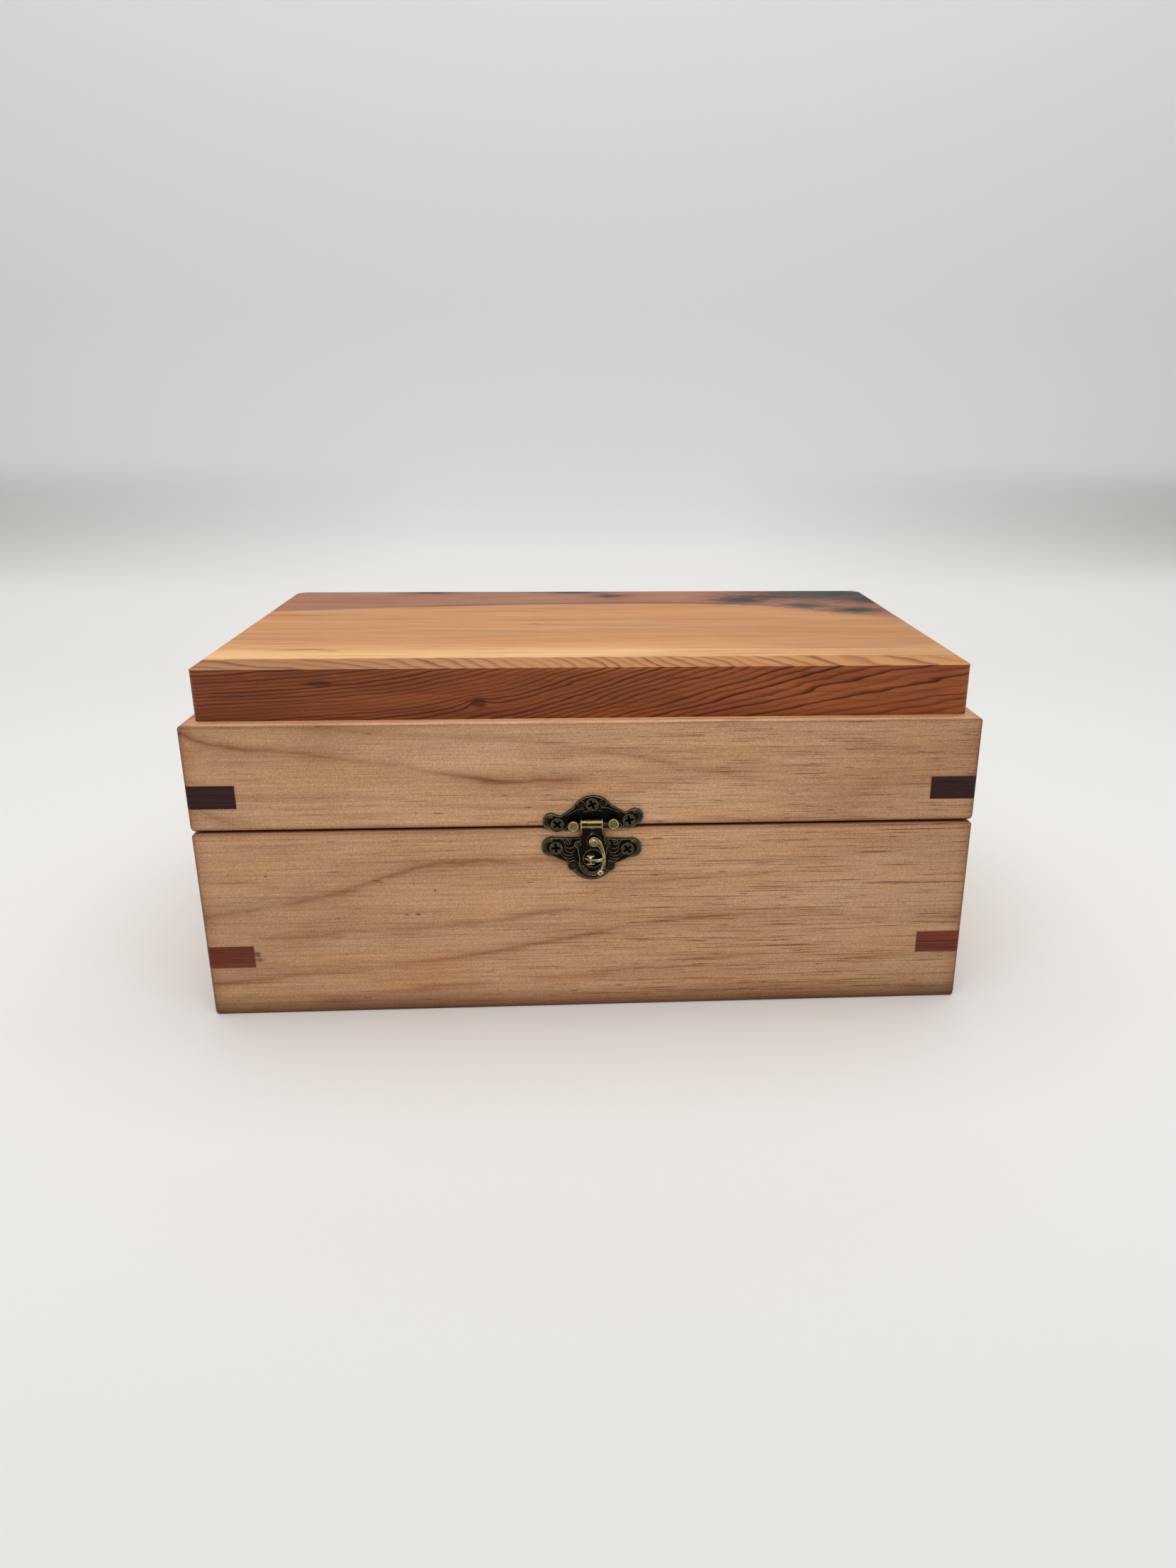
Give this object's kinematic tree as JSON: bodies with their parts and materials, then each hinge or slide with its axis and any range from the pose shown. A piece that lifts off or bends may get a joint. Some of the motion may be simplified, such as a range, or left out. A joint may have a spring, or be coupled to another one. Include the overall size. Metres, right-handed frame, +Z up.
{
  "type": "wooden keepsake box",
  "caption": "Mitred hardwood box with contrasting corner keys, a solid slab lid on stop hinges and a small antique-finish swing-hook latch.",
  "frame": {"origin": "middle of the underside, on the surface the box stands on", "axes": "+X to the right along the width, +Z up, -Y towards the front with the latch"},
  "size_m": [0.2186, 0.1516, 0.1007],
  "materials": {
    "frame_wood": "pale tan hardwood under a satin lacquer",
    "panel_wood": "plain sanded plywood",
    "base_key_wood": "reddish-brown hardwood, satin",
    "lid_key_wood": "dark purplish-brown hardwood, satin",
    "slab_wood": "orange-brown cedar under a satin oil finish",
    "aged_bronze": "near-black antique bronze, rubbed on its rims",
    "rubbed_bronze": "antique bronze worn to brass where it is handled",
    "screw_bronze": "dull grey-bronze screws"
  },
  "bodies": {
    "base": {"base_front": "frame_wood", "base_right": "frame_wood", "base_back": "frame_wood", "base_left": "frame_wood", "base_bottom": "panel_wood", "base_key_front_left": "base_key_wood", "base_key_front_right": "base_key_wood", "base_key_back_left": "base_key_wood", "base_key_back_right": "base_key_wood", "latch_lower_plate": "aged_bronze", "latch_staple": "rubbed_bronze", "latch_lower_screws": "screw_bronze", "hinge_base_leaf_left": "aged_bronze", "hinge_base_leaf_right": "aged_bronze", "hinge_pin_left": "rubbed_bronze", "hinge_pin_right": "rubbed_bronze", "hinge_base_screws": "screw_bronze"},
    "lid": {"lid_front": "frame_wood", "lid_right": "frame_wood", "lid_back": "frame_wood", "lid_left": "frame_wood", "lid_slab": "slab_wood", "lid_key_front_left": "lid_key_wood", "lid_key_front_right": "lid_key_wood", "lid_key_back_left": "lid_key_wood", "lid_key_back_right": "lid_key_wood", "latch_upper_plate": "aged_bronze", "latch_posts": "rubbed_bronze", "latch_pin": "rubbed_bronze", "latch_upper_screws": "screw_bronze", "hinge_lid_leaf_left": "aged_bronze", "hinge_lid_leaf_right": "aged_bronze", "hinge_lid_screws": "screw_bronze"},
    "hasp": {"hasp": "aged_bronze", "hook_rivet": "rubbed_bronze"},
    "hook": {"swing_hook": "rubbed_bronze"}
  },
  "joints": [
    {"name": "lid_hinge", "type": "hinge", "parent": "base", "child": "lid", "pos_m": [0, 0.0721, 0.05625], "axis": [-1, 0, 0], "range_deg": [0, 95]},
    {"name": "hasp_hinge", "type": "hinge", "parent": "lid", "child": "hasp", "pos_m": [0.00035, -0.0725, 0.0578], "axis": [-1, 0, 0], "range_deg": [0, 150]},
    {"name": "hook_pivot", "type": "hinge", "parent": "hasp", "child": "hook", "pos_m": [0.001, -0.07244, 0.0526], "axis": [0, -1, 0], "range_deg": [-18, 90]}
  ]
}
